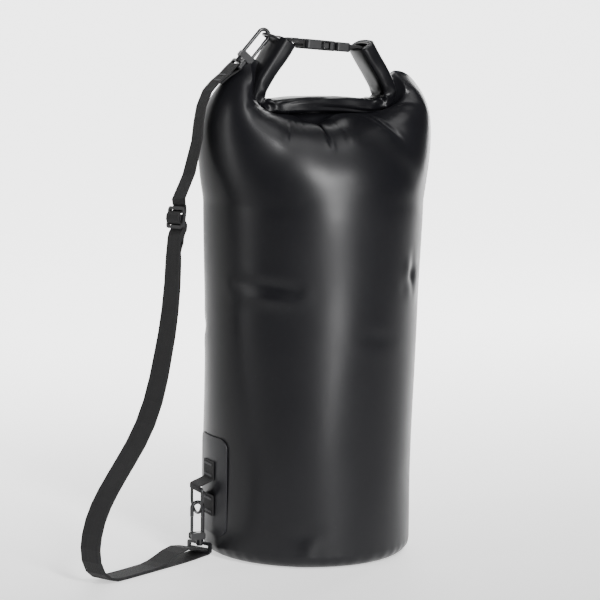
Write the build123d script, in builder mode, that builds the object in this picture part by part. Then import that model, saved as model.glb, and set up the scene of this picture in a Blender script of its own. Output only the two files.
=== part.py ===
"""Roll-top dry bag with a side-release buckle and a clip-on shoulder strap.

Millimetres. The origin is the centre of the bag's base on the floor, +Z is up, and X runs along the
rolled mouth. The shoulder strap hangs on the -X side, clipped to the roll's left end and to a D-ring
near the base.
"""
from build123d import *
from math import cos, radians, sin
import os

# ---- driving dimensions: the bag -----------------------------------------------------------------
bag_diameter = 230.0
roll_height = 490.0          # centre of the rolled mouth above the floor
sheet = 1.2                  # coated fabric
base_round = 14.0            # rounding where the wall turns under
base_flange = 8.0            # straight part of the base's upturned flange
shoulder_drop = 100.0        # the round tube starts to flatten this far below the roll
roll_thickness = 18.0
roll_margin = 9.5            # the roll is this much wider than the webbing, on each side
roll_bend = 18.0             # centreline radius where the roll turns up
roll_offset = 8.0            # the roll sits this far towards +X
handle_rise = 68.5           # the roll's cut ends stand this far above its middle
end_pocket = 16.0            # depth of the open fold in each roll end
end_wall = 2.4               # fabric layers round that fold
stiffener_width = 20.0
stiffener_thickness = 1.6

# ---- webbing, rings and buckle --------------------------------------------------------------------
webbing = 25.0
webbing_thickness = 1.5
web_gap = 0.3                # between webbing and the hardware that it wraps
ring_wire = 3.2
ring_room = 1.0              # a ring or eye is this much wider inside than the webbing
patch_width = 68.0
patch_height = 107.0
patch_foot = 25.0            # height of the patch's lower edge
patch_corner = 12.0
tab_foot = 45.0
tab_top = 105.0
tab_reach = 13.0             # the lower D-ring's bar stands this far off the patch
lower_ring_height = 76.0     # height of that bar
lower_ring_drop = 28.4       # from the bar's centre to the far side's centre
upper_ring_drop = 20.0
buckle_width = 33.0
buckle_thickness = 11.0
buckle_tilt = 4.6            # degrees, down towards +X
housing_length = 36.0
plug_length = 17.0
prong_length = 20.0
slide_clearance = 0.3        # between the buckle's two halves
release_travel = 24.0

# ---- swivel hooks ---------------------------------------------------------------------------------
hook_wire = 4.2
hook_slot = 8.4              # clear width inside the hook
hook_slot_length = 27.0      # from the bend's centre down to the base
hook_base = 8.0              # height of the block that holds the gate
hook_nose = 9.0
gate_gap = 0.35              # between the gate's tip and the nose
gate_wire = 3.4
gate_pin = 2.0
post_diameter = 4.0
post_offset = 3.0            # the swivel post stands this far from the slot's middle, towards the spine
running_gap = 0.06           # radial clearance of pins and posts
eye_wire = 3.2
eye_boss = 5.0
eye_opening = 5.6
spring_wire = 0.45

# ---- places that follow from them -----------------------------------------------------------------
bag_radius = bag_diameter / 2
roll_width = webbing + 2 * roll_margin
end_height = roll_height + handle_rise
left_corner = (-(bag_radius - 31), roll_height - 2)
right_corner = (bag_radius - 16, roll_height - 2)
left_end = (-36.5, end_height)
right_end = (57.0, end_height - 4.5)
split_height = end_height - 24.0
tilt = radians(buckle_tilt)
slide_way = (cos(tilt), 0, -sin(tilt))       # the buckle's length, and the way its plug leaves
slide_up = (sin(tilt), 0, cos(tilt))
buckle_centre = (9.0, 0.0, roll_height + 64.0)
ring_inside = webbing + ring_room
layer = webbing_thickness + 0.4      # from one strap layer's middle to the next
tab_face = -(bag_radius + sheet)
lower_bar_x = tab_face - tab_reach - ring_wire / 2

os.makedirs("parts", exist_ok=True)


def keep(shape, name):
    """Label a finished piece and write it to its own file."""
    shape.label = name
    export_step(shape, f"parts/{name}.step")


def section_plane(at, along, across):
    """A plane at a point, square to a direction, whose x axis lies as near as can be to another."""
    normal = Vector(*along).normalized()
    side = Vector(*across)
    side = (side - normal * side.dot(normal)).normalized()
    return Plane(origin=at, x_dir=side, z_dir=normal)


def elliptic_form(levels, shrink=0.0):
    """A closed loft through level ellipses: centre x, height, half length and half depth."""
    with BuildPart() as form:
        for centre_x, height, half_length, half_depth in levels:
            with BuildSketch(Plane.XY.offset(height)):
                with Locations((centre_x, 0)):
                    Ellipse(half_length - shrink, half_depth - shrink)
        loft()
    return form.part


def flat_strip(points, bends, thickness, width):
    """A strip of webbing whose edge-on line lies in the XZ plane, centred on Y = 0."""
    with BuildPart() as strip:
        with BuildSketch(Plane.XZ.offset(-width / 2)):
            with BuildLine():
                FilletPolyline(*points, radius=bends)
            trace(line_width=thickness)
        extrude(amount=width)
    return strip.part


def ribbon(stations, width, thickness):
    """A strip lofted straight from station to station; each one is (point, direction, across)."""
    with BuildPart() as strip:
        for at, along, across in stations:
            with BuildSketch(section_plane(at, along, across)):
                Rectangle(width, thickness)
        loft(ruled=True)
    return strip.part


# ---- the roll ------------------------------------------------------------------------------------
def roll_path(corner, end, beyond):
    """Half of the roll's centreline, from its middle out, round the bend and up past its cut end."""
    rise = Vector(end[0] - corner[0], end[1] - corner[1]).normalized()
    past = (end[0] + rise.X * beyond, end[1] + rise.Y * beyond)
    with BuildLine(Plane.XZ) as path:
        FilletPolyline((roll_offset, roll_height), corner, past, radius=roll_bend)
    return path.line


def roll_arm(corner, end, beyond, thickness=roll_thickness, width=roll_width, corner_round=8.0):
    """One half of the roll, from its middle out to the cut end."""
    path = roll_path(corner, end, beyond)
    with BuildPart() as arm:
        with BuildSketch(Plane(origin=path @ 0, x_dir=(0, 1, 0), z_dir=path % 0)):
            RectangleRounded(width, thickness, corner_round)
        sweep(path=path)
    return arm.part


def below(height):
    """A block that holds everything under a height."""
    with BuildPart() as block:
        Box(
            4 * bag_diameter,
            2 * bag_diameter,
            height,
            align=(Align.CENTER, Align.CENTER, Align.MIN),
        )
    return block.part


def arm_direction(corner, end):
    """The way an arm of the roll points at its cut end."""
    return Vector(end[0] - corner[0], 0, end[1] - corner[1]).normalized()


def end_fold(corner, end):
    """The open fold inside one cut end of the roll."""
    along = arm_direction(corner, end)
    deep = Vector(end[0], 0, end[1]) - along * end_pocket
    pocket = roll_thickness - 2 * end_wall
    with BuildPart() as fold:
        with BuildSketch(Plane(origin=deep, x_dir=(0, 1, 0), z_dir=along)):
            RectangleRounded(roll_width - 2 * end_wall, pocket, pocket / 2 - 0.5)
        extrude(amount=3 * end_pocket)
    return fold.part


with BuildPart() as left_arm:
    add(roll_arm(left_corner, left_end, roll_width))
    add(below(end_height), mode=Mode.INTERSECT)
right_arm = roll_arm(right_corner, right_end, 0)
split_plane = Plane(origin=(right_end[0], 0, split_height), x_dir=slide_way, z_dir=slide_up)

with BuildPart() as mouth_stiffener:
    for corner, end in ((left_corner, left_end), (right_corner, right_end)):
        add(roll_arm(corner, end, 0, stiffener_thickness, stiffener_width, 0.5))
    add(below(split_height - 6), mode=Mode.INTERSECT)
keep(mouth_stiffener.part, "mouth_stiffener")

with BuildPart() as rolled_mouth:
    add(right_arm)
    split(bisect_by=split_plane.offset(-slide_clearance), keep=Keep.BOTTOM)
    add(left_arm.part)
    add(end_fold(left_corner, left_end), mode=Mode.SUBTRACT)
    add(mouth_stiffener.part, mode=Mode.SUBTRACT)
keep(rolled_mouth.part, "rolled_mouth")

with BuildPart() as roll_right_end:
    add(right_arm)
    split(bisect_by=split_plane, keep=Keep.TOP)
    add(end_fold(right_corner, right_end), mode=Mode.SUBTRACT)
keep(roll_right_end.part, "roll_right_end")

# ---- the bag -------------------------------------------------------------------------------------
shoulder_start = roll_height - shoulder_drop
shoulder = [
    (0, shoulder_start, bag_radius + 0.6, bag_radius + 0.4),
    (2, shoulder_start + 42, bag_radius + 6, bag_radius - 14),
    (5, roll_height - 26, bag_radius + 9, bag_radius - 46),
    (roll_offset, roll_height - 8, bag_radius + 4, roll_width / 2 + 18),
    (roll_offset, roll_height + 1, bag_radius - 6, roll_width / 2 + 3),
]
left_ear = [
    (left_corner[0] + 10, roll_height - 34, 40, 42),
    (left_corner[0] + 1, roll_height + 2, 26, 29),
    (left_corner[0] + 8, roll_height + 26, 13, 17),
    (left_corner[0] + 14, roll_height + 37, 6, 9),
]
right_ear = [
    (right_corner[0] - 14, roll_height - 34, 40, 42),
    (right_corner[0] + 3, roll_height + 6, 28, 29),
    (right_corner[0] - 1, roll_height + 28, 16, 18),
    (right_corner[0] - 6, roll_height + 38, 7, 9),
]


def tube_profile(inset):
    """The tube's side and rounded foot as a filled half section, drawn in from the outside by inset."""
    side = bag_radius - inset
    turn = base_round - inset
    with BuildSketch(Plane.XZ) as half:
        with BuildLine():
            Polyline((side - turn, inset), (0, inset), (0, shoulder_start), (side, shoulder_start), (side, base_round))
            RadiusArc((side, base_round), (side - turn, inset), turn)
        make_face()
    return half.sketch


with BuildPart() as bag_inside:
    revolve(tube_profile(sheet), axis=Axis.Z)
    add(elliptic_form(shoulder, 1.1 * sheet))

with BuildPart() as base_disc:
    lip = bag_radius - sheet
    with BuildSketch(Plane.XZ):
        with BuildLine():
            Polyline((0, 0), (bag_radius - base_round, 0), (bag_radius - base_round, sheet))
            RadiusArc((bag_radius - base_round, sheet), (lip, base_round), -(base_round - sheet))
            Polyline(
                (lip, base_round),
                (lip, base_round + base_flange),
                (lip - sheet, base_round + base_flange),
                (lip - sheet, base_round),
            )
            RadiusArc((lip - sheet, base_round), (bag_radius - base_round, 2 * sheet), base_round - 2 * sheet)
            Polyline((bag_radius - base_round, 2 * sheet), (0, sheet), (0, 0))
        make_face()
    revolve(axis=Axis.Z)
keep(base_disc.part, "base_disc")

with BuildPart() as bag_body:
    revolve(tube_profile(0), axis=Axis.Z)
    add(elliptic_form(shoulder))
    add(elliptic_form(left_ear))
    add(elliptic_form(right_ear))
    add(bag_inside.part, mode=Mode.SUBTRACT)
    add(left_arm.part, mode=Mode.SUBTRACT)
    add(right_arm, mode=Mode.SUBTRACT)
    Cylinder(
        bag_radius - base_round,
        2 * sheet,
        align=(Align.CENTER, Align.CENTER, Align.CENTER),
        mode=Mode.SUBTRACT,
    )
keep(bag_body.part, "bag_body")

# ---- lower patch, its tab and the two D-rings ------------------------------------------------------
with BuildPart() as lower_patch:
    with BuildSketch():
        Circle(bag_radius + sheet)
        Circle(bag_radius, mode=Mode.SUBTRACT)
    extrude(amount=patch_foot + patch_height + patch_corner)
    with BuildSketch(Plane.YZ.offset(-bag_diameter)):
        with Locations((0, patch_foot + patch_height / 2)):
            RectangleRounded(patch_width, patch_height, patch_corner)
    extrude(amount=bag_diameter, mode=Mode.INTERSECT)
keep(lower_patch.part, "lower_patch")

half_web = webbing_thickness / 2
wrap = ring_wire / 2 + web_gap + half_web       # from a bar's centre to the webbing round it
tab_line = tab_face - half_web
tab_path = [
    (tab_line, tab_top),
    (tab_line, lower_ring_height + 9),
    (lower_bar_x - wrap, lower_ring_height + wrap),
    (lower_bar_x - wrap, lower_ring_height - wrap),
    (tab_line, lower_ring_height - 9),
    (tab_line, tab_foot),
]
keep(flat_strip(tab_path, 2.1, webbing_thickness, webbing), "lower_tab")

with BuildPart() as tab_stitches:
    tack_heights = (tab_top - 4, lower_ring_height + 13, lower_ring_height - 13, tab_foot + 4)
    for height in tack_heights:
        with BuildSketch(Plane.YZ.offset(tab_face - webbing_thickness)):
            with Locations((0, height)):
                RectangleRounded(webbing - 5, 2.2, 1.0)
        extrude(amount=-0.5)
keep(tab_stitches.part, "tab_stitches")


def d_ring(bar, drop, towards):
    """A wire D-ring: its straight bar lies along Y at a point, and its round side lies towards a way."""
    half = (ring_inside + ring_wire) / 2
    place = Plane(origin=bar, x_dir=(0, 1, 0), z_dir=Vector(0, 1, 0).cross(Vector(*towards)))
    with BuildPart() as ring:
        with BuildLine(place) as half_path:
            FilletPolyline((0, 0), (half, 0), (half, drop - half), radius=2.5)
            RadiusArc((half, drop - half), (0, drop), -half)
        with BuildSketch(Plane(origin=half_path.line @ 0, z_dir=half_path.line % 0)):
            Circle(ring_wire / 2)
        sweep(path=half_path.line)
        mirror(about=Plane.XZ)
    return ring.part


keep(d_ring((lower_bar_x, 0, lower_ring_height), lower_ring_drop, (0, 0, -1)), "lower_d_ring")

# The upper D-ring leaves the left roll end over its outer lip, and the hook's bend hangs on its far side.
hook_axis = Vector(0.66, 0, 0.75).normalized()
ring_lean = Vector(-0.92, 0, 0.39).normalized()
upper_bar = Vector(left_end[0] - 1.9, 0, end_height - 0.3)
upper_ring_far = upper_bar + ring_lean * upper_ring_drop
keep(d_ring(tuple(upper_bar), upper_ring_drop, tuple(ring_lean)), "upper_d_ring")

# ---- the side-release buckle -----------------------------------------------------------------------
buckle_plane = Plane(origin=buckle_centre, x_dir=slide_way, z_dir=slide_up)
buckle_side = Plane(origin=buckle_centre, x_dir=slide_way, z_dir=(0, -1, 0))
bar_depth = 2.4
bar_height = 4.4
web_slot = 4.6               # length of the opening beside each webbing bar
housing_back = -24.0
housing_mouth = housing_back + housing_length
cavity_back = housing_back + bar_depth + web_slot + 2.4
cavity_width = buckle_width - 6.0
cavity_height = buckle_thickness - 4.6
plug_shoulder = housing_mouth + slide_clearance
plug_end = plug_shoulder + plug_length
arm_reach = plug_shoulder - prong_length
arm_width = 4.4
arm_height = cavity_height - 0.8
arm_root = cavity_width / 2 - 5.6
window = (arm_reach + 1.5, housing_mouth - 7.5)


def through_slot(middle):
    """The opening for webbing through the thickness of a buckle half."""
    with BuildPart() as cut:
        with BuildSketch(buckle_plane.offset(-buckle_thickness)):
            with Locations((middle, 0)):
                RectangleRounded(web_slot, webbing + ring_room, 1.0)
        extrude(amount=2 * buckle_thickness)
    return cut.part


def bar_relief(start):
    """What is cut away to leave the webbing bar at the end of a buckle half at its own height."""
    with BuildPart() as cut:
        for side in (-1, 1):
            with BuildSketch(buckle_side.offset(-(webbing + ring_room) / 2)):
                with Locations((start + bar_depth / 2, side * (bar_height / 2 + 5))):
                    Rectangle(bar_depth + 0.02, 10)
            extrude(amount=webbing + ring_room)
    return cut.part


with BuildPart() as buckle_housing:
    with BuildSketch(buckle_plane.offset(-buckle_thickness / 2)):
        with Locations(((housing_back + housing_mouth) / 2, 0)):
            RectangleRounded(housing_length, buckle_width, 4.0)
    extrude(amount=buckle_thickness)
    rims = buckle_housing.faces().filter_by(buckle_plane).edges()
    fillet(rims, 2.0)
    with BuildSketch(buckle_plane.offset(-cavity_height / 2)):
        with Locations(((cavity_back + housing_mouth) / 2 + 1, 0)):
            Rectangle(housing_mouth - cavity_back + 2, cavity_width)
    extrude(amount=cavity_height, mode=Mode.SUBTRACT)
    with BuildSketch(buckle_plane.offset(-cavity_height / 2 - 0.6)):
        with Locations((sum(window) / 2, 0)):
            Rectangle(window[1] - window[0], 2 * buckle_width)
    extrude(amount=cavity_height + 1.2, mode=Mode.SUBTRACT)
    add(through_slot(housing_back + bar_depth + web_slot / 2), mode=Mode.SUBTRACT)
    add(bar_relief(housing_back), mode=Mode.SUBTRACT)
keep(buckle_housing.part, "buckle_housing")

with BuildPart() as buckle_plug:
    with BuildSketch(buckle_plane.offset(-buckle_thickness / 2 + 0.4)):
        with Locations(((plug_shoulder + plug_end) / 2, 0)):
            RectangleRounded(plug_length, buckle_width, 3.0)
    extrude(amount=buckle_thickness - 0.8)
    fillet(buckle_plug.faces().filter_by(buckle_plane).edges(), 1.6)
    with BuildSketch(buckle_plane.offset(-arm_height / 2)):
        with Locations((plug_shoulder - prong_length / 2 + 2, 0)):
            RectangleRounded(prong_length, 4.0, 1.2)
    extrude(amount=arm_height)
    for side in (-1, 1):
        with BuildSketch(buckle_plane.offset(-arm_height / 2 - 0.3)):
            with Locations((plug_shoulder, side * arm_root)):
                Rectangle(4.4, arm_width + 1.2)
        extrude(amount=arm_height + 0.6, mode=Mode.SUBTRACT)
    add(through_slot(plug_end - bar_depth - web_slot / 2), mode=Mode.SUBTRACT)
    add(bar_relief(plug_end - bar_depth), mode=Mode.SUBTRACT)
keep(buckle_plug.part, "buckle_plug")

for side, name in ((-1, "prong_front"), (1, "prong_rear")):
    outer = cavity_width / 2 - slide_clearance
    root_low = arm_root - arm_width / 2
    with BuildPart() as prong:
        with BuildSketch(buckle_plane.offset(-arm_height / 2)):
            with BuildLine():
                Polyline(
                    (plug_shoulder + 1.9, side * root_low),
                    (plug_shoulder + 1.9, side * (root_low + arm_width)),
                    (plug_shoulder - 7.5, side * (root_low + arm_width)),
                    (plug_shoulder - 8.0, side * outer),
                    (plug_shoulder - 14.0, side * outer),
                    (arm_reach, side * (outer - 4.0)),
                    (arm_reach, side * (outer - 6.0)),
                    (plug_shoulder - 12.0, side * (outer - 4.2)),
                    (plug_shoulder - 4.0, side * root_low),
                    close=True,
                )
            make_face()
        extrude(amount=arm_height)
    keep(prong.part, name)

# ---- webbing between the buckle, the rings and the roll's ends --------------------------------------
def folded_tab(bar, bar_plane, bar_size, bar_round, tail):
    """Webbing folded round a bar that runs along Y, with its two layers together in the tail."""
    room = 2 * web_gap
    doubled = 2 * webbing_thickness
    with BuildPart() as tab:
        with BuildSketch(Plane.XZ.offset(-webbing / 2)):
            with BuildLine():
                FilletPolyline(bar, *tail, radius=1.6)
            trace(line_width=doubled)
        extrude(amount=webbing)
        for grow, mode in ((room + doubled, Mode.ADD), (room, Mode.SUBTRACT)):
            with BuildSketch(bar_plane.offset(-webbing / 2)):
                RectangleRounded(bar_size[0] + grow, bar_size[1] + grow, bar_round + grow / 2)
            extrude(amount=webbing, mode=mode)
    return tab.part


def buckle_bar(u):
    """The plane square to a buckle half's webbing bar, at the bar's middle."""
    return Plane(origin=buckle_plane.from_local_coords((u, 0, 0)), x_dir=slide_way, z_dir=(0, -1, 0))


left_rise = arm_direction(left_corner, left_end)
right_rise = arm_direction(right_corner, right_end)
left_bar = buckle_bar(housing_back + bar_depth / 2)
right_bar = buckle_bar(plug_end - bar_depth / 2)
left_inset = (roll_thickness / 2 - end_wall - webbing_thickness - 0.2) / left_rise.Z
left_deep = (
    left_end[0] + left_inset - left_rise.X * (end_pocket - 2),
    end_height - left_rise.Z * (end_pocket - 2),
)
left_tail = [
    (left_end[0] + 13.0, end_height + 2.2),
    (left_end[0] + left_inset + 0.6, end_height + 1.9),
    left_deep,
]


def in_right_fold(along, inward):
    """A point of the right tab, from the arm's cut end: along the arm, and in towards the left arm."""
    return (
        right_end[0] + right_rise.X * along - right_rise.Z * inward,
        right_end[1] + right_rise.Z * along + right_rise.X * inward,
    )


right_tail = [in_right_fold(4.16, 8.03), in_right_fold(-0.48, 4.1), in_right_fold(2 - end_pocket, 3.05)]
bar_section = (bar_depth, bar_height)
left_start = (left_bar.origin.X, left_bar.origin.Z)
right_start = (right_bar.origin.X, right_bar.origin.Z)
keep(folded_tab(left_start, left_bar, bar_section, 0.6, left_tail), "left_tab")
keep(folded_tab(right_start, right_bar, bar_section, 0.6, right_tail), "right_tab")

ring_plane = Plane(origin=upper_bar, x_dir=(1, 0, 0), z_dir=(0, -1, 0))
ring_section = (ring_wire, ring_wire)
loop_deep = upper_bar - left_rise * (end_pocket - 4)
loop_tail = [(upper_bar.X - left_rise.X * 6, upper_bar.Z - left_rise.Z * 6), (loop_deep.X - 0.3, loop_deep.Z)]
loop_start = (upper_bar.X, upper_bar.Z)
keep(folded_tab(loop_start, ring_plane, ring_section, ring_wire / 2 - 0.05, loop_tail), "ring_loop")

# ---- swivel hooks --------------------------------------------------------------------------------
bar_half = (hook_slot + hook_wire) / 2
base_top = -hook_slot_length
base_foot = base_top - hook_base
pivot = (-bar_half + 0.5, base_top - hook_base / 2 + 0.4)
gate_tip = -hook_nose - gate_gap
gate_slot = 5.6
lug = 3.2
boss_top = base_foot - slide_clearance
boss_foot = boss_top - eye_boss
eye_bar = boss_foot - eye_opening - eye_wire / 2
hook_block = 2 * bar_half + hook_wire


def local_box(place, low, high):
    """A block between two corners in a plane's own axes."""
    with BuildPart() as block:
        with BuildSketch(place.offset(low[2])):
            with Locations(((low[0] + high[0]) / 2, (low[1] + high[1]) / 2)):
                Rectangle(high[0] - low[0], high[1] - low[1])
        extrude(amount=high[2] - low[2])
    return block.part


def local_rod(place, at, radius, low, high):
    """A rod square to a plane, at a point in its own axes."""
    with BuildPart() as rod:
        with BuildSketch(place.offset(low)):
            with Locations(at):
                Circle(radius)
        extrude(amount=high - low)
    return rod.part


def post_rod(place, radius, low, high):
    """A rod along the swivel axis between two stations of a hook's own height."""
    start = place.from_local_coords((post_offset, low, 0))
    with BuildPart() as rod:
        with BuildSketch(Plane(origin=start, x_dir=place.x_dir, z_dir=place.y_dir)):
            Circle(radius)
        extrude(amount=high - low)
    return rod.part


def hook_body(place):
    """A hook in a plane: x towards the spine, y towards the bend, origin in the bend's centre."""
    with BuildPart() as hook:
        with BuildLine(place) as wire:
            Line((-bar_half, -hook_nose), (-bar_half, 0))
            ThreePointArc((-bar_half, 0), (0, bar_half), (bar_half, 0))
            Line((bar_half, 0), (bar_half, base_top - 1))
        with BuildSketch(Plane(origin=wire.line @ 0, z_dir=wire.line % 0)):
            Circle(hook_wire / 2)
        sweep(path=wire.line)
        with BuildSketch(place.offset(-hook_wire / 2 - 2)):
            with Locations((0, (base_top + base_foot) / 2)):
                RectangleRounded(hook_block, hook_base, 2.4)
        extrude(amount=hook_wire + 4)
        slot = (-hook_block, base_foot + 1.6, -gate_slot / 2), (-1.2, base_top + 3, gate_slot / 2)
        add(local_box(place, *slot), mode=Mode.SUBTRACT)
        add(local_rod(place, pivot, gate_pin / 2, -hook_wire, hook_wire), mode=Mode.SUBTRACT)
        add(post_rod(place, post_diameter / 2, boss_foot - 0.2, base_foot + 0.4))
        add(post_rod(place, post_diameter / 2 + 1.3, boss_foot - 1.6, boss_foot - 0.2))
    return hook.part


def hook_gate(place):
    """The sprung gate: a lug on the pin and a round bar up to the nose."""
    start = place.from_local_coords((-bar_half, pivot[1], 0))
    with BuildPart() as gate:
        with BuildSketch(Plane(origin=start, x_dir=place.x_dir, z_dir=place.y_dir)):
            Circle(gate_wire / 2)
        extrude(amount=gate_tip - pivot[1])
        add(local_box(place, (-bar_half - 2, base_foot, lug / 2), (0, base_top + 3.2, 3)), mode=Mode.SUBTRACT)
        add(local_rod(place, pivot, 2.1, -lug / 2, lug / 2))
        add(local_rod(place, pivot, gate_pin / 2 + running_gap, -5, 5), mode=Mode.SUBTRACT)
    return gate.part


def gate_spring(place):
    """Turns of wire round the gate's pin, beside the lug."""
    radius = gate_pin / 2 + spring_wire / 2 + 0.12
    start = place.from_local_coords((pivot[0], pivot[1], lug / 2 + spring_wire / 2 + 0.05))
    pitch = spring_wire + 0.03
    with BuildPart() as spring:
        with BuildLine() as coil:
            Helix(pitch, pitch * 1.25, radius, center=start, direction=place.z_dir)
        with BuildSketch(Plane(origin=coil.line @ 0, z_dir=coil.line % 0)):
            Circle(spring_wire / 2)
        sweep(path=coil.line, is_frenet=True)
    return spring.part


def swivel_eye(place, bar_way):
    """The webbing eye that turns on the hook's post; its bars run along bar_way."""
    centre = place.from_local_coords((post_offset, 0, 0))
    frame = Plane(origin=centre, x_dir=bar_way, z_dir=Vector(*bar_way).cross(place.y_dir))
    middle = (boss_foot + eye_bar) / 2 + eye_wire / 4
    with BuildPart() as eye:
        with BuildSketch(frame.offset(-eye_wire / 2)):
            with Locations((0, middle)):
                RectangleRounded(ring_inside + 2 * eye_wire, boss_foot - eye_bar + 1.5 * eye_wire, 2.4)
            with Locations((0, boss_foot - eye_opening / 2)):
                RectangleRounded(ring_inside, eye_opening, 0.8, mode=Mode.SUBTRACT)
        extrude(amount=eye_wire)
        add(post_rod(place, post_diameter / 2 + 2.2, boss_foot, boss_top))
        add(post_rod(place, post_diameter / 2 + 1.6, boss_foot - 3, boss_foot), mode=Mode.SUBTRACT)
        add(post_rod(place, post_diameter / 2 + running_gap, boss_foot - 8, boss_top + 5), mode=Mode.SUBTRACT)
    return eye.part


ring_slack = 0.45            # left between the upper ring and the inside of its hook's bend
ring_play = hook_slot / 2 - ring_wire / 2 - ring_slack
upper_bend = upper_ring_far - hook_axis * ring_play
upper_side = Vector(-hook_axis.Z, 0, hook_axis.X)
lower_ring_far = Vector(lower_bar_x, 0, lower_ring_height - lower_ring_drop)
lower_bend = lower_ring_far + Vector(0.6, 0, 5.2)
strap_turn = radians(28.0)      # the strap's lower half faces this far round from the upper half
strap_way = (-cos(strap_turn), -sin(strap_turn), 0)
low_across = (-sin(strap_turn), cos(strap_turn), 0)
hooks = {
    "upper": (Plane(origin=upper_bend, x_dir=upper_side, z_dir=(0, 1, 0)), (0, 1, 0)),
    "lower": (Plane(origin=lower_bend, x_dir=(1, 0, 0), z_dir=(0, -1, 0)), low_across),
}
for name, (place, bar_way) in hooks.items():
    keep(hook_body(place), f"{name}_hook")
    keep(hook_gate(place), f"{name}_gate")
    keep(gate_spring(place), f"{name}_gate_spring")
    keep(local_rod(place, pivot, gate_pin / 2, -hook_wire / 2 - 2, hook_wire / 2 + 2), f"{name}_gate_pin")
    keep(swivel_eye(place, bar_way), f"{name}_eye")

# ---- shoulder strap ------------------------------------------------------------------------------
eye_gap = 0.4
eye_wrap = eye_wire / 2 + eye_gap + half_web
upper_eye_bar = hooks["upper"][0].from_local_coords((post_offset, eye_bar, 0))
lower_eye_bar = hooks["lower"][0].from_local_coords((post_offset, eye_bar, 0))
twist_top = roll_height - 10.0       # the webbing starts to turn here and has turned at twist_foot
twist_foot = 150.0


def strap_point(out, height):
    """A point in the strap's own upright plane: how far out from the lower eye's bar, and how high."""
    return Vector(lower_eye_bar.X, 0, 0) + Vector(*strap_way) * out + Vector(0, 0, height)


def across_at(height):
    """The way that the webbing's width lies at a height."""
    share = min(1.0, max(0.0, (twist_top - height) / (twist_top - twist_foot)))
    turn = strap_turn * share
    return Vector(-sin(turn), cos(turn), 0)


def wrap_points(bar, way, up, reach):
    """Points round a square bar, from its under side, over its far side, to its upper side."""
    near = reach - 0.75
    round_trip = [(0, -reach), (near, -reach), (reach, -near), (reach, near), (near, reach), (0, reach)]
    return [bar + way * forward + up * rise for forward, rise in round_trip]


# From the sewn end under the upper eye's bar, round it, and down to where the single layer hangs free.
leave = Vector(-0.786, 0, -0.619)
lift = Vector(-0.619, 0, 0.786)
top_run = [
    upper_eye_bar + leave * 26 - lift * 1.15,
    upper_eye_bar + leave * 14 - lift * 1.15,
    upper_eye_bar + leave * 6 - lift * 2.2,
    *wrap_points(upper_eye_bar, leave * -1, lift, eye_wrap),
    upper_eye_bar + leave * 6 + lift * 2.2,
    upper_eye_bar + leave * 14 + lift * 1.15,
    upper_eye_bar + leave * 26 + lift * 1.15,
    upper_eye_bar + leave * 33 + lift * 0.2,
    upper_eye_bar + leave * 40 - lift * 1.0,
    Vector(-(bag_radius + 14.5), 0, roll_height - 1),
    Vector(-(bag_radius + 17.5), 0, twist_top - 8),
    strap_point(10, twist_top - 26),
    strap_point(23, twist_top - 62),
]

# The adjuster, and the webbing's way through it: stations down the strap, and out from its middle.
slide_bar = 3.5
slide_middle_bar = 4.0
slide_pitch = 10.0
slide_thickness = 3.2
adjuster_reach = 22.0        # the webbing lies square to the adjuster this near to its middle
slide_centre = strap_point(43, roll_height - 117)
slide_down = (strap_point(46, roll_height - 147) - strap_point(37, roll_height - 95)).normalized()
slide_across = across_at(slide_centre.Z)
slide_across = (slide_across - slide_down * slide_across.dot(slide_down)).normalized()
slide_out = slide_across.cross(slide_down)
slide_out = slide_out if slide_out.X < 0 else slide_out * -1


def woven(stations):
    """Points given as distances down the strap and outwards from the adjuster's middle."""
    return [slide_centre + slide_down * down + slide_out * out for down, out in stations]


through_weave = woven(
    [
        (-20, 0.0),
        (-15, -1.2),
        (-12.1, -2.65),
        (-10, -2.7),
        (-7.4, -2.7),
        (-4.9, 3.3),
        (-2.4, 4.6),
        (2.4, 4.6),
        (4.9, 3.3),
        (7.4, -2.7),
        (10, -2.7),
        (12.1, -2.65),
        (15.5, -1.2),
        (21, -0.2),
    ]
)
end_weave = woven(
    [
        (36, -1.9),
        (30, -2.7),
        (26.5, -3.9),
        (21, -4.1),
        (15.5, -5.1),
        (12.1, -6.5),
        (10, -6.5),
        (6.4, -6.2),
        (2.6, -3.4),
        (0.9, -2.65),
        (-2.2, -2.65),
        (-3.05, -1.9),
        (-3.05, 1.9),
        (-2.2, 2.65),
        (0.9, 2.65),
        (2.2, 2.6),
        (3.1, 1.5),
        (6.1, -4.1),
        (10, -4.6),
        (12.1, -4.6),
        (15.5, -3.15),
        (21, -2.15),
        (25, -2.05),
    ]
)
hanging = [
    (48.5, roll_height - 160),
    (50, 303),
    (53.5, 275),
    (58.5, 250),
    (64.5, 228),
    (71, 205),
    (80, 181),
    (92, 159),
    (107, 139.5),
    (123, 123),
    (137, 109),
    (150, 95.5),
    (161, 82),
    (169.5, 68),
    (175, 53),
    (177.3, 39),
    (175.5, 25),
    (169, 12.5),
    (159, 4.8),
    (147, 1.4),
    (130, 0.95),
    (105, 0.95),
]
floor_run = [(80, 0.95), (60, 0.95), (40, 1.0), (22, 1.5), (9, 2.3)]
return_run = [(8, 8.9), (20, 12.2), (34, 14.2), (48, 12.0), (60, 8.2), (72, 4.8), (84, 3.1)]
outer_layer = [strap_point(*station) for station in hanging]
low_bar = Vector(lower_eye_bar.X, 0, lower_eye_bar.Z)
low_wrap = wrap_points(low_bar, Vector(*strap_way) * -1, Vector(0, 0, 1), eye_wrap)


def way_at(points, index):
    """The direction of a run of points at one of them."""
    before = points[max(index - 1, 0)]
    here = points[index]
    after = points[min(index + 1, len(points) - 1)]
    steps = [step.normalized() for step in (here - before, after - here) if step.length > 0]
    return sum(steps, Vector(0, 0, 0)).normalized()


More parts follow.
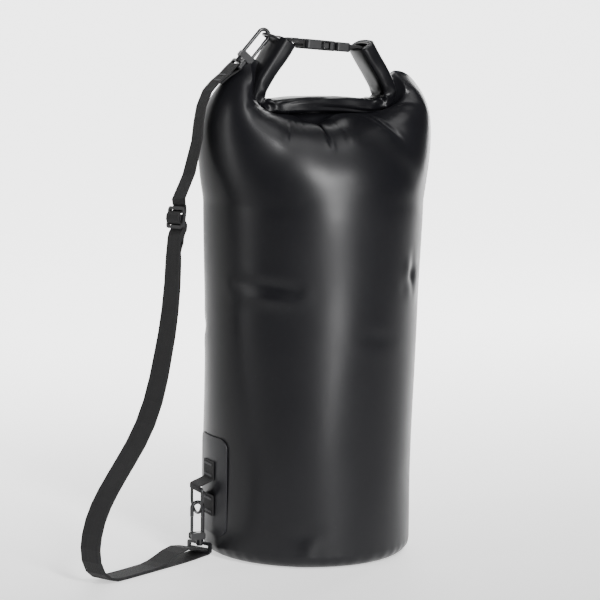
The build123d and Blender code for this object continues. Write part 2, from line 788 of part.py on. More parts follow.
def inner_copy(points):
    """The same run one layer nearer to the bag, in the opposite order."""
    copy = []
    for index, point in enumerate(points):
        along = way_at(points, index)
        inward = along.cross(across_at(point.Z)).normalized()
        inward = inward if inward.dot(Vector(0, 0, 1) - Vector(*strap_way)) > 0 else inward * -1
        copy.append(point + inward * layer)
    return copy[::-1]


strap_run = [
    *top_run,
    *through_weave,
    *outer_layer,
    *(strap_point(*station) for station in floor_run),
    *low_wrap,
    *(strap_point(*station) for station in return_run),
    *inner_copy(outer_layer),
    *end_weave,
]
strap_length = sum((b - a).length for a, b in zip(strap_run, strap_run[1:]))
print("strap webbing length", round(strap_length))
stations = []
for index, point in enumerate(strap_run):
    woven_here = (point - slide_centre).length < adjuster_reach
    across = slide_across if woven_here else across_at(point.Z)
    stations.append((point, way_at(strap_run, index), across))
keep(ribbon(stations, webbing, webbing_thickness), "strap_webbing")

with BuildPart() as strap_adjuster:
    slide_plane = Plane(origin=slide_centre, x_dir=slide_across, z_dir=slide_out)
    with BuildSketch(slide_plane.offset(-slide_thickness / 2)):
        RectangleRounded(webbing + 8, 2 * slide_pitch + slide_bar, 4.0)
        for side in (-1, 1):
            room = slide_pitch - (slide_bar + slide_middle_bar) / 2
            with Locations((0, side * (slide_middle_bar + room) / 2)):
                RectangleRounded(webbing + 1.2, room, 0.8, mode=Mode.SUBTRACT)
    extrude(amount=slide_thickness)
keep(strap_adjuster.part, "strap_adjuster")

with BuildPart() as strap_stitches:
    tack = Plane(origin=upper_eye_bar + leave * 20 + lift * 1.9, x_dir=(0, 1, 0), z_dir=lift)
    with BuildSketch(tack):
        for side in (-1, 1):
            with Locations((0, side * 4.5)):
                RectangleRounded(webbing - 5, 2.0, 0.9)
    extrude(amount=0.4)
keep(strap_stitches.part, "strap_stitches")
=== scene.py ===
"""Looks of the roll-top dry bag, in the CAD model's own frame.

The fabric's points are worked out in millimetres and made metres in make_mesh; lights, the floor and the
camera are placed in metres. X runs along the roll, -Y is the front and +Z is up.
"""

import math

import bpy
import numpy as np
from mathutils import Matrix, Vector


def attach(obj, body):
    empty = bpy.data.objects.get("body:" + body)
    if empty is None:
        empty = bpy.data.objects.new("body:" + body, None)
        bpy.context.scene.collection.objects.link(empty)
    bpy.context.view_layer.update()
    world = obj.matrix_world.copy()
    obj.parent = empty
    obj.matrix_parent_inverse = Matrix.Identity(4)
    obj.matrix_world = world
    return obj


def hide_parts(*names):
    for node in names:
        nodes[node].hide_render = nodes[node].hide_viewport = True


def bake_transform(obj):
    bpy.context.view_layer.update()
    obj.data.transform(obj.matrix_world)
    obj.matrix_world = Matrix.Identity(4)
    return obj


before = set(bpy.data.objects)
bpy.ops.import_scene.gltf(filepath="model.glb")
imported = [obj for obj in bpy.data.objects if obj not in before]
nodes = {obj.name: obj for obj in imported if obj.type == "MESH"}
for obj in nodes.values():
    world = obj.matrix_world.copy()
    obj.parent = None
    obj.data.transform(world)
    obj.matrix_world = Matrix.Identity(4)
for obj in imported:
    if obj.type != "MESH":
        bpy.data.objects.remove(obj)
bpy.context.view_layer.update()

MM = 0.001
RADIUS = 115.0
BASE_ROUND = 14.0


# ---- materials ------------------------------------------------------------------------------------
def new_group(name, inputs, outputs):
    """A shader node group with its sockets; gives the group, its input node and its output node."""
    group = bpy.data.node_groups.new(name, "ShaderNodeTree")
    for label, kind, value in inputs:
        socket = group.interface.new_socket(label, in_out="INPUT", socket_type=kind)
        if value is not None:
            socket.default_value = value
    for label, kind in outputs:
        group.interface.new_socket(label, in_out="OUTPUT", socket_type=kind)
    return group, group.nodes.new("NodeGroupInput"), group.nodes.new("NodeGroupOutput")


def node(tree, kind, settings=None, values=None):
    """A new shader node with properties and unlinked input values set."""
    made = tree.nodes.new(kind)
    for key, value in (settings or {}).items():
        setattr(made, key, value)
    for key, value in (values or {}).items():
        made.inputs[key].default_value = value
    return made


def handled_group():
    """Slow cloudy change and fine specks, as handling leaves on a coated surface."""
    group, into, out = new_group(
        "Handled surface",
        [("Cloud size", "NodeSocketFloat", 9.0), ("Speck size", "NodeSocketFloat", 420.0)],
        [("Cloud", "NodeSocketFloat"), ("Specks", "NodeSocketFloat")],
    )
    place = node(group, "ShaderNodeTexCoord")
    cloud = node(group, "ShaderNodeTexNoise", values={"Detail": 4.0, "Roughness": 0.6})
    specks = node(group, "ShaderNodeTexNoise", values={"Detail": 2.0})
    rare = node(group, "ShaderNodeMapRange", values={"From Min": 0.72, "From Max": 0.84})
    link = group.links.new
    link(place.outputs["Object"], cloud.inputs["Vector"])
    link(place.outputs["Object"], specks.inputs["Vector"])
    link(into.outputs["Cloud size"], cloud.inputs["Scale"])
    link(into.outputs["Speck size"], specks.inputs["Scale"])
    link(cloud.outputs["Fac"], out.inputs["Cloud"])
    link(specks.outputs["Fac"], rare.inputs["Value"])
    link(rare.outputs["Result"], out.inputs["Specks"])
    return group


def weave_group():
    """Height of a herringbone webbing and a painted shade from it, darker in the hollows and lighter on the
    yarn tops; U runs across and V along it, in metres.
    """
    group, into, out = new_group(
        "Webbing weave",
        [("Pitch", "NodeSocketFloat", 0.0011)],
        [("Height", "NodeSocketFloat"), ("Shade", "NodeSocketFloat")],
    )
    link = group.links.new
    coords = node(group, "ShaderNodeUVMap")
    split = node(group, "ShaderNodeSeparateXYZ")
    link(coords.outputs["UV"], split.inputs["Vector"])

    def maths(operation, a, b=None):
        step = node(group, "ShaderNodeMath", {"operation": operation})
        for socket, value in zip(step.inputs, (a, b)):
            if value is None:
                continue
            if isinstance(value, (int, float)):
                socket.default_value = value
            else:
                link(value, socket)
        return step.outputs["Value"]

    across = maths("DIVIDE", split.outputs["X"], into.outputs["Pitch"])
    along = maths("DIVIDE", split.outputs["Y"], into.outputs["Pitch"])
    zigzag = maths("PINGPONG", across, 2.0)
    slanted = maths("ADD", along, zigzag)
    yarn = maths("ABSOLUTE", maths("SINE", maths("MULTIPLY", slanted, math.pi)))
    rib = maths("ABSOLUTE", maths("SINE", maths("MULTIPLY", across, math.pi)))
    height = maths("MULTIPLY", maths("POWER", yarn, 0.6), maths("POWER", rib, 0.35))
    link(height, out.inputs["Height"])
    # Painted shade: the colour follows the height, dark in the hollows between yarns and light on their
    # tops, with a random fuzz.
    fuzz = node(group, "ShaderNodeTexNoise", values={"Scale": 900.0, "Detail": 3.0})
    link(coords.outputs["UV"], fuzz.inputs["Vector"])
    link(maths("MULTIPLY", height, maths("ADD", fuzz.outputs["Fac"], 0.5)), out.inputs["Shade"])
    return group


handled = handled_group()
weave = weave_group()


def coated(name, colour, rough, spread, grain_scale, grain, metallic=0.0, specular=0.5):
    """A smooth coloured surface with cloudy roughness, a fine grain and a few pale specks."""
    material = bpy.data.materials.new(name)
    material.use_nodes = True
    tree = material.node_tree
    shade = tree.nodes["Principled BSDF"]
    shade.inputs["Metallic"].default_value = metallic
    shade.inputs["Specular IOR Level"].default_value = specular
    wear = node(tree, "ShaderNodeGroup", {"node_tree": handled})
    rough_range = node(tree, "ShaderNodeMapRange", values={"From Min": 0.3, "From Max": 0.7})
    rough_range.inputs["To Min"].default_value = rough - spread
    rough_range.inputs["To Max"].default_value = rough + spread
    mix = node(tree, "ShaderNodeMix", {"data_type": "RGBA"})   # inputs 6 and 7 are its two colours
    mix.inputs[6].default_value = (*colour, 1)
    mix.inputs[7].default_value = (*(c * 2.2 + 0.01 for c in colour), 1)
    noise = node(tree, "ShaderNodeTexNoise", values={"Scale": grain_scale, "Detail": 3.0})
    place = node(tree, "ShaderNodeTexCoord")
    bump = node(tree, "ShaderNodeBump", values={"Strength": grain, "Distance": 0.0004})
    link = tree.links.new
    link(place.outputs["Object"], noise.inputs["Vector"])
    link(noise.outputs["Fac"], bump.inputs["Height"])
    link(bump.outputs["Normal"], shade.inputs["Normal"])
    link(wear.outputs["Cloud"], rough_range.inputs["Value"])
    link(rough_range.outputs["Result"], shade.inputs["Roughness"])
    link(wear.outputs["Specks"], mix.inputs[0])
    link(mix.outputs[2], shade.inputs["Base Color"])
    return material


def woven(name, colour, rough=0.78):
    """Webbing cloth: needs a UV map in metres."""
    material = bpy.data.materials.new(name)
    material.use_nodes = True
    tree = material.node_tree
    shade = tree.nodes["Principled BSDF"]
    shade.inputs["Roughness"].default_value = rough
    shade.inputs["Specular IOR Level"].default_value = 0.25
    pattern = node(tree, "ShaderNodeGroup", {"node_tree": weave})
    # The weave's painted shade mixes from 0.35 of the colour in the hollows to 1.5 of it on the yarn tops.
    mix = node(tree, "ShaderNodeMix", {"data_type": "RGBA"})
    mix.inputs[6].default_value = (*(c * 0.35 for c in colour), 1)
    mix.inputs[7].default_value = (*(c * 1.5 for c in colour), 1)
    bump = node(tree, "ShaderNodeBump", values={"Strength": 0.7, "Distance": 0.0003})
    link = tree.links.new
    link(pattern.outputs["Shade"], mix.inputs[0])
    link(mix.outputs[2], shade.inputs["Base Color"])
    link(pattern.outputs["Height"], bump.inputs["Height"])
    link(bump.outputs["Normal"], shade.inputs["Normal"])
    return material


bag_pvc = coated("Coated bag fabric", (0.0042, 0.0042, 0.0052), 0.34, 0.05, 1300.0, 0.08, specular=0.22)
# The roll is the bag's own fabric; this copy has a darker colour as painted shade and a lower specular
# level, to dull the pale reflections on the roll.
roll_pvc_shaded_copy = coated("Coated bag fabric, shaded copy for the roll", (0.0036, 0.0036, 0.0044), 0.33, 0.05, 1300.0, 0.08, specular=0.12)
patch_pvc = coated("Coated patch fabric", (0.008, 0.008, 0.010), 0.44, 0.05, 1300.0, 0.12, specular=0.22)
moulded = coated("Moulded black plastic", (0.007, 0.007, 0.008), 0.40, 0.06, 900.0, 0.12, specular=0.3)
black_metal = coated("Black coated metal", (0.007, 0.007, 0.008), 0.30, 0.06, 700.0, 0.10, specular=0.45)
steel = coated("Spring steel", (0.42, 0.42, 0.44), 0.3, 0.05, 700.0, 0.05, metallic=1.0)
thread = coated("Sewing thread", (0.022, 0.022, 0.025), 0.7, 0.05, 2500.0, 0.8)
webbing_cloth = woven("Woven webbing", (0.0078, 0.0076, 0.0080))


# ---- mesh helpers ---------------------------------------------------------------------------------
def smooth_step(low, high, value):
    """0 at low and 1 at high with a soft change between; low may be the larger of the two."""
    share = np.clip((np.asarray(value, float) - low) / (high - low), 0.0, 1.0)
    return share * share * (3 - 2 * share)


def make_mesh(name, points, faces, material, hide):
    """A smooth mesh from millimetre points, which stands for the CAD nodes in hide."""
    mesh = bpy.data.meshes.new(name)
    mesh.from_pydata([tuple(p) for p in np.asarray(points, float) * MM], [], [list(f) for f in faces])
    mesh.validate()
    mesh.shade_smooth()
    mesh.materials.append(material)
    made = bpy.data.objects.new(name, mesh)
    bpy.context.scene.collection.objects.link(made)
    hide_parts(*hide)
    return made


def grid_faces(rows, columns, closed):
    """Quads of a grid of points listed row by row; closed joins each row's last point to its first."""
    faces = []
    for row in range(rows - 1):
        for here in range(columns if closed else columns - 1):
            beside = (here + 1) % columns
            low, high = row * columns, (row + 1) * columns
            faces.append((low + here, low + beside, high + beside, high + here))
    return faces


def unit(vectors):
    """Each vector at length one."""
    return vectors / np.maximum(np.linalg.norm(vectors, axis=-1, keepdims=True), 1e-9)


# ---- the roll's centreline --------------------------------------------------------------------------
def bent_line(points, radii, step):
    """A line through XZ corners, each inner one rounded to its radius, sampled about step apart."""
    corners = [np.array(p, float) for p in points]
    out = [corners[0]]
    for before, here, after, radius in zip(corners, corners[1:], corners[2:], radii):
        way_in = unit(before - here)
        way_out = unit(after - here)
        half = 0.5 * math.acos(float(np.clip(way_in @ way_out, -1, 1)))
        reach = radius / math.tan(half)
        start, end = here + way_in * reach, here + way_out * reach
        for t in np.linspace(0, 1, 14):
            out.append((1 - t) ** 2 * start + 2 * t * (1 - t) * here + t * t * end)
    out.append(corners[-1])
    out = np.array(out)
    lengths = np.concatenate([[0], np.cumsum(np.linalg.norm(np.diff(out, axis=0), axis=1))])
    stations = np.linspace(0, lengths[-1], int(lengths[-1] / step) + 1)
    return np.stack([np.interp(stations, lengths, out[:, k]) for k in range(2)], axis=1), stations


ROLL_ENDS = ((-36.5, 558.5), (57.0, 554.0))
ROLL_CORNERS = ((-84.0, 488.0), (99.0, 488.0))
ROLL_CENTRE = (8.0, 489.0)
ROLL_BEND, ROLL_SLACK = 20.0, 200.0         # corner radii at the two bends and at the middle
ROLL_STEP = 1.5
ARM_POINTS = 20                             # points of an arm that the search for the middle leaves out
roll_line, roll_station = bent_line(
    [ROLL_ENDS[0], ROLL_CORNERS[0], ROLL_CENTRE, ROLL_CORNERS[1], ROLL_ENDS[1]],
    [ROLL_BEND, ROLL_SLACK, ROLL_BEND],
    ROLL_STEP,
)
roll_length = roll_station[-1]
roll_middle = float(
    np.interp(ROLL_CENTRE[0], roll_line[ARM_POINTS:-ARM_POINTS, 0], roll_station[ARM_POINTS:-ARM_POINTS])
)


def roll_at(station):
    """Point of the roll's centreline (x, z) at a distance from its left end."""
    return np.stack([np.interp(station, roll_station, roll_line[:, k]) for k in range(2)], axis=-1)


# ---- the bag's skin -----------------------------------------------------------------------------------
LEFT_APEX, RIGHT_APEX = 20.0, 32.0          # stations on the roll where its two ears end
COLUMNS, ROWS_FOOT, ROWS_UP, ROWS_TOP = 224, 12, 70, 96
SHOULDER = 384.0                            # height where the tube starts to close towards the roll
LEAN_X, LEAN_WIDE, LEAN_DEEP = 4.5, 5.5, 5.0   # the tube's shift, widening and flattening at the top
EAR_LEFT, EAR_RIGHT = 17.0, 18.0            # how far the two ears stand out past the roll
ROLL_HALF_DEPTH = 23.0
SLACK = 1.035                               # cut length of the fabric over its placed length
FREE_ROWS_BELOW = 12                        # rows under the shoulder that the simulation moves too
BLEND_ROWS = 26                             # rows over which its result fades in

# A crease: where it starts and ends (angle in degrees, height), its depth, half width and ridge.
CREASES = [
    ((-156.0, 305.0), (-122.0, 299.0), 2.6, 6.0, 1.1),
    ((-148.0, 300.0), (-124.0, 288.0), -1.3, 9.0, 0.0),
    ((-49.0, 330.0), (-46.0, 296.0), 2.6, 6.0, 1.2),
    ((-40.0, 322.0), (-56.0, 300.0), 1.4, 7.0, 0.6),
    ((-112.0, 24.0), (-117.0, 4.0), -1.8, 9.0, 0.0),
    ((-122.0, 36.0), (-108.0, 40.0), 1.0, 8.0, 0.3),
    ((176.0, 34.0), (-170.0, 38.0), 1.2, 4.0, 0.4),
    ((-86.0, 250.0), (-66.0, 243.0), 0.5, 7.0, 0.2),
    ((40.0, 300.0), (70.0, 292.0), 2.2, 8.0, 0.9),
    ((100.0, 330.0), (132.0, 318.0), 2.4, 8.0, 1.0),
    ((20.0, 180.0), (44.0, 186.0), 1.2, 7.0, 0.4),
    ((150.0, 240.0), (166.0, 252.0), 1.3, 7.0, 0.5),
    ((-8.0, 356.0), (14.0, 346.0), 2.0, 8.0, 0.8),
]


def crease_depth(angle, height):
    """How far the skin is drawn in by the creases, at angles in degrees and heights."""
    total = np.zeros_like(height)
    for (a0, z0), (a1, z1), depth, width, ridge in CREASES:
        turn = (angle - a0 + 180.0) % 360.0 - 180.0
        span = (a1 - a0 + 180.0) % 360.0 - 180.0
        x, y = np.radians(turn) * RADIUS, height - z0
        ex, ey = math.radians(span) * RADIUS, z1 - z0
        share = np.clip((x * ex + y * ey) / (ex * ex + ey * ey), 0, 1)
        away = np.hypot(x - share * ex, y - share * ey)
        taper = 0.35 + 0.65 * np.sin(np.pi * np.clip(share, 0.02, 0.98))
        total += depth * taper * np.exp(-((away / width) ** 2))
        side = np.where(y - share * ey < 0, 1.0, 0.4)
        total -= ridge * side * taper * np.exp(-(((away - 2.1 * width) / (1.3 * width)) ** 2))
    return total


def tube_point(angle, height):
    """The tube below the shoulder, a little oval and leaning towards its upper end."""
    lean = smooth_step(120.0, 400.0, height)
    turn = np.radians(angle)
    curve_in = np.clip((BASE_ROUND - height) / BASE_ROUND, 0, 1)
    shrink = BASE_ROUND * (1 - np.sqrt(np.clip(1 - curve_in**2, 0, 1)))
    pleat = np.exp(-(((height - 7.0) / 6.0) ** 2))
    pleats = 0.35 * np.sin(turn * 41 + 1.3 * np.sin(turn * 7)) * pleat
    wave = 0.7 * np.sin(turn * 3 + height / 70.0) + 0.5 * np.sin(turn * 5 - height / 46.0 + 2.0)
    wave = wave * smooth_step(20.0, 120.0, height)
    draw = crease_depth(angle, height)
    half_x = RADIUS + LEAN_WIDE * lean - shrink + pleats + wave - draw
    half_y = RADIUS - LEAN_DEEP * lean - shrink + pleats + wave - draw
    return np.stack([LEAN_X * lean + half_x * np.cos(turn), half_y * np.sin(turn), height], axis=-1)


def top_station(angle):
    """Where on the roll a column of the skin ends; the columns at the sides end at the ears."""
    share = 1 - 2 * np.abs((angle + 180.0) % 360.0 - 180.0) / 180.0
    left = roll_middle + share * (roll_middle - LEFT_APEX)
    right = roll_middle + share * (roll_length - RIGHT_APEX - roll_middle)
    return np.where(share < 0, left, right), share


def column_angles():
    """Angle of each column of the skin, in degrees."""
    return np.arange(COLUMNS) * 360.0 / COLUMNS - 180.0


def skin():
    """The skin's points row by row, from the foot to the roll."""
    angles = column_angles()
    low = 0.5 * BASE_ROUND * (1 - np.cos(np.linspace(0, np.pi, ROWS_FOOT)))
    heights = np.concatenate([low[:-1], np.linspace(BASE_ROUND, SHOULDER, ROWS_UP)])
    rows = [tube_point(angles, np.full(COLUMNS, z)) for z in heights]
    station, share = top_station(angles)
    foot = rows[-1]
    side = np.sign(np.sin(np.radians(angles)))
    side[np.abs(np.sin(np.radians(angles))) < 1e-9] = 0
    flat = np.clip(1 - np.abs(share), 0, 1)
    seam = roll_at(station)
    off = side * (ROLL_HALF_DEPTH * smooth_step(0.0, 0.22, flat))
    end = np.stack([seam[:, 0], off, seam[:, 1]], axis=1)
    ear_left = smooth_step(0.5, 1.0, -share)
    ear_right = smooth_step(0.5, 1.0, share)
    arm_left = smooth_step(0.42, 0.7, -share)
    arm_right = smooth_step(0.42, 0.7, share)
    ears = -EAR_LEFT * ear_left + EAR_RIGHT * ear_right
    end[:, 0] += ears - 6.0 * arm_left + 6.0 * arm_right
    end[:, 2] -= 7.0 * (1 - np.maximum(arm_left, arm_right))
    dip = np.where(side < 0, 1.0, 0.5) * np.exp(-(((share + 0.02 - 0.1 * side) / 0.13) ** 2))
    end[:, 2] -= 13.0 * dip
    rise = 58.0 + 38.0 * ear_left + 26.0 * ear_right
    first = foot + np.stack([0.06 * foot[:, 0], 0.02 * foot[:, 1], rise], axis=1)
    first[:, 0] += ears
    second = end.copy()
    second[:, 1] += side * 46.0 * smooth_step(0.0, 0.5, flat)
    second[:, 2] -= 25.0 * (1 - ear_left - ear_right) + 20.0 * ear_left - 1.0 * ear_right
    second[:, 0] += -40.0 * ear_left + 40.0 * ear_right
    for t in np.linspace(0, 1, ROWS_TOP)[1:]:
        row = (1 - t) ** 3 * foot + 3 * t * (1 - t) ** 2 * first + 3 * t * t * (1 - t) * second + t**3 * end
        fold = smooth_step(0.35, 0.8, t) * (1 - 0.5 * smooth_step(0.9, 1.0, t))
        ripple = 4.2 * np.sin(share * 11.0 + side * 1.0 + 2.6 * t)
        ripple = ripple + 1.3 * np.sin(share * 23.0 + 4.0 * side - 3.0 * t)
        row[:, 1] += side * ripple * fold * smooth_step(0.0, 0.3, flat)
        row[:, 1] -= side * 13.0 * dip * smooth_step(0.6, 0.9, t) * (1 - smooth_step(0.93, 1.0, t))
        rows.append(row)
    return np.array(rows)


def settle(points, pressure=1500.0, frames=24):
    """The skin after a cloth simulation that pushes it out from inside and lets its slack fold."""
    below = ROWS_UP - FREE_ROWS_BELOW
    part = points[below:]
    rows, columns = part.shape[:2]
    mesh = bpy.data.meshes.new("skin_before_settling")
    mesh.from_pydata([tuple(p) for p in part.reshape(-1, 3) * MM], [], grid_faces(rows, columns, True))
    cloth = bpy.data.objects.new("skin_before_settling", mesh)
    bpy.context.scene.collection.objects.link(cloth)
    angles = np.arange(columns) * 2 * np.pi / columns - np.pi
    lengths = np.zeros((rows, columns))
    lengths[1:] = np.cumsum(np.linalg.norm(np.diff(part, axis=0), axis=2), axis=0)
    rest = np.empty_like(part)
    rest[..., 0] = RADIUS * np.cos(angles)
    rest[..., 1] = RADIUS * np.sin(angles)
    rest[..., 2] = lengths * SLACK
    cloth.shape_key_add(name="placed")
    key = cloth.shape_key_add(name="flat size")
    key.data.foreach_set("co", (rest.reshape(-1, 3) * MM).astype(np.float32).ravel())
    key.value = 0.0
    held = cloth.vertex_groups.new(name="held")
    held_rows = (0, 1, 2, rows - 2, rows - 1)
    held.add([row * columns + c for row in held_rows for c in range(columns)], 1.0, "REPLACE")
    soft = cloth.modifiers.new("settling", "CLOTH")
    settings = soft.settings
    settings.rest_shape_key = key
    settings.vertex_group_mass = "held"
    settings.effector_weights.gravity = 0.0
    settings.quality = 5
    settings.mass = 0.1
    settings.air_damping = 4.0
    settings.tension_stiffness = settings.compression_stiffness = 40.0
    settings.shear_stiffness = 20.0
    settings.bending_stiffness = 4.0
    settings.use_pressure = True
    settings.uniform_pressure_force = pressure
    soft.collision_settings.use_collision = False
    soft.point_cache.frame_start = 1
    soft.point_cache.frame_end = frames
    scene = bpy.context.scene
    for number in range(1, frames + 1):
        scene.frame_set(number)
    graph = bpy.context.evaluated_depsgraph_get()
    moved = cloth.evaluated_get(graph).to_mesh()
    out = np.empty(rows * columns * 3, np.float32)
    moved.vertices.foreach_get("co", out)
    cloth.evaluated_get(graph).to_mesh_clear()
    scene.frame_set(1)
    bpy.data.objects.remove(cloth)
    settled = points.copy()
    share = smooth_step(0, BLEND_ROWS, np.arange(rows))[:, None, None]
    settled[below:] = part + share * (out.reshape(part.shape).astype(float) / MM - part)
    return settled


def tuck_under(points, drop=6.0, left_open=0.15):
    """The skin with its last turn taken in under the roll, so that nothing shows through between them."""
    last = points[-1]
    under = roll_at(top_station(column_angles())[0])
    inside = np.stack([under[:, 0], last[:, 1] * left_open, under[:, 1]], axis=1)
    turns = []
    for t in (0.2, 0.45, 0.7, 1.0):
        turns.append(last * (1 - t) + inside * t - np.array([0, 0, drop * math.sin(math.pi * t)]))
    return np.concatenate([points, turns])


skin_points = skin()
skin_points = settle(skin_points)
skin_points = tuck_under(skin_points)
bag_faces = grid_faces(len(skin_points), COLUMNS, True)
bag = make_mesh("bag_skin", skin_points.reshape(-1, 3), bag_faces, bag_pvc, ("bag_body",))
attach(bag, "bag")
refine = bag.modifiers.new("refine", "SUBSURF")
refine.levels = refine.render_levels = 1


# ---- the roll -------------------------------------------------------------------------------------------
ROLL_HALF_WIDE, ROLL_HALF_HIGH = 22.5, 10.6
ROLL_TURNS, TURN_GAP, LAYER_THICK = 2.6, 2.4, 1.1
FREE_EDGE_TURN = 2.4                        # where round the roll the outer edge of the sheet lies
SQUARENESS = 0.62                           # 1 gives an ellipse, less gives flatter sides


def spiral_profile(count=54):
    """A closed outline of a flat rolled sheet, as points (across, up)."""
    out, back = [], []
    for i in range(int(count * ROLL_TURNS) + 1):
        turn = 2 * math.pi * i / count + FREE_EDGE_TURN
        c, s = math.cos(turn), math.sin(turn)
        for run, depth in ((out, 0.0), (back, LAYER_THICK)):
            inward = TURN_GAP * i / count + depth
            across = math.copysign(abs(c) ** SQUARENESS, c) * (ROLL_HALF_WIDE - inward)
            up = math.copysign(abs(s) ** SQUARENESS, s) * (ROLL_HALF_HIGH - inward)
            run.append((across, up))
    return np.array(out + back[::-1])


def wavy(station, turn, seed):
    """Slow unevenness of the roll along its length and round it."""
    return (
        1.1 * np.sin(station / 19.0 + seed)
        + 0.8 * np.sin(station / 11.0 + 2 * turn + 2 * seed)
        + 0.5 * np.sin(station / 5.3 - 3 * turn)
    )


# A crease pressed along the roll: where it runs round it, how it drifts along it, and its depth.
PRESSED = [(-3.0, 0.25, 0.5), (2.75, -0.5, 0.45), (-2.2, 0.5, 0.4), (2.2, 0.9, 0.4)]


def roll_mesh():
    """Points and faces of the whole roll, from its left end to its right end."""
    profile = spiral_profile()
    around = np.arctan2(profile[:, 1], profile[:, 0])
    reach = np.hypot(profile[:, 0] / ROLL_HALF_WIDE, profile[:, 1] / ROLL_HALF_HIGH)
    outward = profile / np.maximum(reach, 1e-6)[:, None]
    along = unit(np.gradient(roll_line, axis=0))
    up = np.stack([-along[:, 1], along[:, 0]], axis=1)
    rows = []
    for (x, z), (ux, uz), s in zip(roll_line, up, roll_station):
        to_end = roll_length - s
        near_corner = math.exp(-(((s - 80.0) / 16.0) ** 2)) + math.exp(-(((to_end - 72.0) / 16.0) ** 2))
        open_end = smooth_step(46.0, 8.0, s) + 1.6 * smooth_step(40.0, 0.0, to_end)
        puff = 1 + 0.02 * wavy(s, around, 1.0) - 0.08 * near_corner
        puff = puff + 0.10 * open_end * np.abs(np.sin(around))
        zigzag = 2 * np.abs(np.sin(3 * around + s / 6.0)) + 1.4 * np.abs(np.sin(4 * around - s / 5.0))
        crumple = near_corner * (1.7 - zigzag)
        pressed = 0.0
        for place, drift, depth in PRESSED:
            off = around - place - drift * (s - roll_middle) / 100.0
            pressed = pressed + depth * np.exp(-((off / 0.075) ** 2))
        pressed = pressed * smooth_step(62, 90, s) * smooth_step(62, 90, to_end)
        size = reach * puff + (0.07 * crumple - 0.24 * pressed) * (reach > 0.8)
        across, height = outward[:, 0] * size, outward[:, 1] * size
        lift = 1.5 * smooth_step(90, 130, s) * smooth_step(90, 130, to_end)
        rows.append(np.stack([x + ux * height, across, z + uz * height + lift], axis=1))
    rows = np.array(rows)
    count = rows.shape[1]
    faces = grid_faces(len(rows), count, True)
    for row in (0, (len(rows) - 1) * count):
        for i in range(count // 2 - 1):
            quad = (row + i, row + i + 1, row + count - 2 - i, row + count - 1 - i)
            faces.append(quad if row else quad[::-1])
    return rows.reshape(-1, 3), faces


roll_points, roll_faces = roll_mesh()
roll_nodes = ("rolled_mouth", "roll_right_end")
roll = make_mesh("rolled_mouth_skin", roll_points, roll_faces, roll_pvc_shaded_copy, roll_nodes)
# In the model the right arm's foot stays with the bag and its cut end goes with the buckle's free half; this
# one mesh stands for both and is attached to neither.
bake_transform(roll)


# ---- finishing the CAD nodes that stay ------------------------------------------------------------------
# Each one has a material and the width in mm that its edges are rounded by.
finishes = {
    "buckle_housing": (moulded, 0.5),
    "buckle_plug": (moulded, 0.5),
    "prong_front": (moulded, 0.4),
    "prong_rear": (moulded, 0.4),
    "strap_adjuster": (moulded, 0.6),
    "mouth_stiffener": (moulded, 0.2),
    "upper_d_ring": (black_metal, 0),
    "lower_d_ring": (black_metal, 0),
    "upper_hook": (black_metal, 0.5),
    "lower_hook": (black_metal, 0.5),
    "upper_gate": (black_metal, 0.3),
    "lower_gate": (black_metal, 0.3),
    "upper_gate_pin": (black_metal, 0.2),
    "lower_gate_pin": (black_metal, 0.2),
    "upper_eye": (black_metal, 0.6),
    "lower_eye": (black_metal, 0.6),
    "upper_gate_spring": (steel, 0),
    "lower_gate_spring": (steel, 0),
    "tab_stitches": (thread, 0.2),
    "strap_stitches": (thread, 0.2),
    "base_disc": (bag_pvc, 0),
    "lower_patch": (patch_pvc, 0),
    "lower_tab": (webbing_cloth, 0.3),
    "left_tab": (webbing_cloth, 0.3),
    "right_tab": (webbing_cloth, 0.3),
    "ring_loop": (webbing_cloth, 0.3),
    "strap_webbing": (webbing_cloth, 0),
}


def map_webbing(piece):
    """UVs in metres: across a strip that faces along X or up, and straight on where it faces sideways."""
    mesh = piece.data
    layer = mesh.uv_layers.get("UVMap") or mesh.uv_layers.new(name="UVMap")
    for face in mesh.polygons:
        lies_across_y = abs(face.normal.y) < 0.7
        for loop in face.loop_indices:
            x, y, z = mesh.vertices[mesh.loops[loop].vertex_index].co
            layer.data[loop].uv = (y, z * 0.8 + x * 0.6) if lies_across_y else (x, z)


def finish_node(name, material, bevel):
    """Give a CAD node its material, and round its edges by bevel (mm) or only part its sharp ones."""
    piece = nodes[name]
    piece.data.materials.clear()
    piece.data.materials.append(material)
    if material is webbing_cloth:
        map_webbing(piece)
    piece.data.shade_smooth()
    if bevel:
        edges = piece.modifiers.new("edges", "BEVEL")
        edges.width = bevel * MM
        edges.segments = 2
        edges.limit_method = "ANGLE"
        edges.angle_limit = math.radians(35)
    else:
        edges = piece.modifiers.new("edges", "EDGE_SPLIT")
        edges.split_angle = math.radians(40)


for name, (material, bevel) in finishes.items():
    finish_node(name, material, bevel)


# ---- stage, light and camera ------------------------------------------------------------------------------
FLOOR_HALF_WIDTH, FLOOR_FRONT, FLOOR_BACK = 6.0, -6.0, 2.2
WALL_BEND, WALL_TOP = 1.2, 5.0


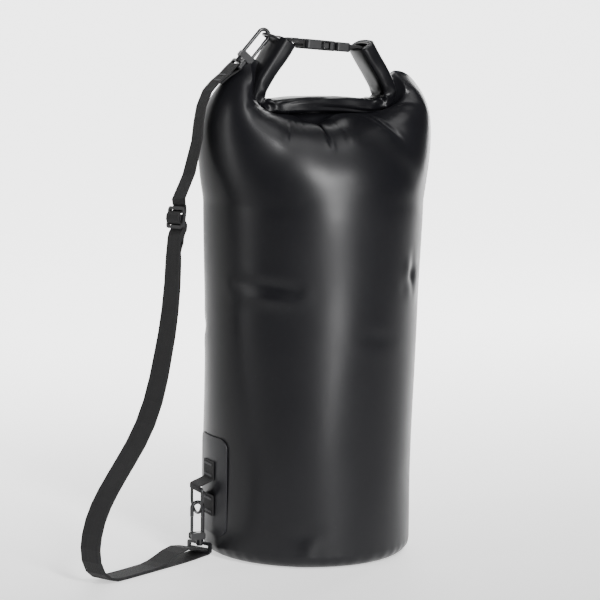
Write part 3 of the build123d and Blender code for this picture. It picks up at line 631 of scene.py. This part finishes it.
def glowing_paper():
    """Pale paper that glows more towards the wall, and less in front and to the right of the bag."""
    material = bpy.data.materials.new("Pale paper")
    material.use_nodes = True
    tree = material.node_tree
    shade = tree.nodes["Principled BSDF"]
    shade.inputs["Base Color"].default_value = (0.55, 0.55, 0.55, 1)
    shade.inputs["Roughness"].default_value = 0.6
    shade.inputs["Specular IOR Level"].default_value = 0.2
    shade.inputs["Emission Color"].default_value = (1, 1, 1, 1)
    smooth = {"interpolation_type": "SMOOTHSTEP"}
    place = node(tree, "ShaderNodeTexCoord")
    split = node(tree, "ShaderNodeSeparateXYZ")
    towards_wall = {"From Min": -0.9, "From Max": 1.6, "To Min": 0.0, "To Max": 3.2}
    out_of_shade = {"From Min": -0.75, "From Max": -0.36, "To Min": 0.25, "To Max": 1.0}
    glow = node(tree, "ShaderNodeMapRange", smooth, towards_wall)
    beside = node(tree, "ShaderNodeMath", {"operation": "MULTIPLY_ADD"}, {1: -0.325})
    shaded = node(tree, "ShaderNodeMapRange", smooth, out_of_shade)
    both = node(tree, "ShaderNodeMath", {"operation": "MULTIPLY"})
    link = tree.links.new
    link(place.outputs["Object"], split.inputs["Vector"])
    link(split.outputs["Y"], glow.inputs["Value"])
    link(split.outputs["Y"], beside.inputs[0])
    link(split.outputs["X"], beside.inputs[2])
    link(beside.outputs["Value"], shaded.inputs["Value"])
    link(glow.outputs["Result"], both.inputs[0])
    link(shaded.outputs["Result"], both.inputs[1])
    link(both.outputs["Value"], shade.inputs["Emission Strength"])
    return material


def sweep_stage():
    """A pale floor that curves up into a wall behind the bag."""
    line = [(FLOOR_FRONT, 0.0), (FLOOR_FRONT / 2, 0.0), (0.0, 0.0), (FLOOR_BACK, 0.0)]
    for turn in np.linspace(0, math.pi / 2, 14)[1:]:
        line.append((FLOOR_BACK + WALL_BEND * math.sin(turn), WALL_BEND - WALL_BEND * math.cos(turn)))
    line.append((FLOOR_BACK + WALL_BEND, WALL_TOP))
    points = [(x, y, z) for y, z in line for x in (-FLOOR_HALF_WIDTH, FLOOR_HALF_WIDTH)]
    mesh = bpy.data.meshes.new("floor_and_wall")
    mesh.from_pydata(points, [], grid_faces(len(line), 2, False))
    mesh.shade_smooth()
    mesh.materials.append(glowing_paper())
    made = bpy.data.objects.new("floor_and_wall", mesh)
    bpy.context.scene.collection.objects.link(made)


def softbox(name, at, aim_height, size, power):
    """A rectangular soft light aimed at a height on the bag's axis; metres and watts."""
    data = bpy.data.lights.new(name, "AREA")
    data.shape = "RECTANGLE"
    data.size, data.size_y = size
    data.energy = power
    made = bpy.data.objects.new(name, data)
    made.location = at
    made.rotation_euler = (Vector((0, 0, aim_height)) - Vector(at)).to_track_quat("-Z", "Y").to_euler()
    bpy.context.scene.collection.objects.link(made)


sweep_stage()
softbox("front softbox", (0.15, -2.3, 1.15), 0.30, (0.42, 2.2), 125)
softbox("left softbox", (-2.3, -0.05, 1.0), 0.30, (0.30, 1.9), 20)
softbox("right strip", (1.9, 1.3, 1.0), 0.30, (0.4, 1.6), 22)
softbox("top softbox", (0.3, -0.5, 2.6), 0.30, (1.2, 1.0), 16)
softbox("upper front softbox", (0.12, -1.9, 2.2), 0.40, (0.36, 0.7), 42)

world = bpy.data.worlds.new("studio")
world.use_nodes = True
world.node_tree.nodes["Background"].inputs["Color"].default_value = (1, 1, 1, 1)
world.node_tree.nodes["Background"].inputs["Strength"].default_value = 0.05
bpy.context.scene.world = world

CAMERA_AT = Vector((-1.1030, -2.3655, 0.624))
CAMERA_AIM = Vector((-0.0106, 0.0, 0.2758))
CAMERA_ROLL = math.radians(0.81)
camera_data = bpy.data.cameras.new("camera")
camera_data.lens = 143.8
camera_data.sensor_width = 36.0
camera_data.clip_end = 50.0
camera = bpy.data.objects.new("camera", camera_data)
camera.location = CAMERA_AT
level = (CAMERA_AIM - CAMERA_AT).to_track_quat("-Z", "Y").to_matrix().to_4x4()
camera.rotation_euler = (level @ Matrix.Rotation(CAMERA_ROLL, 4, "Z")).to_euler()
bpy.context.scene.collection.objects.link(camera)
bpy.context.scene.camera = camera
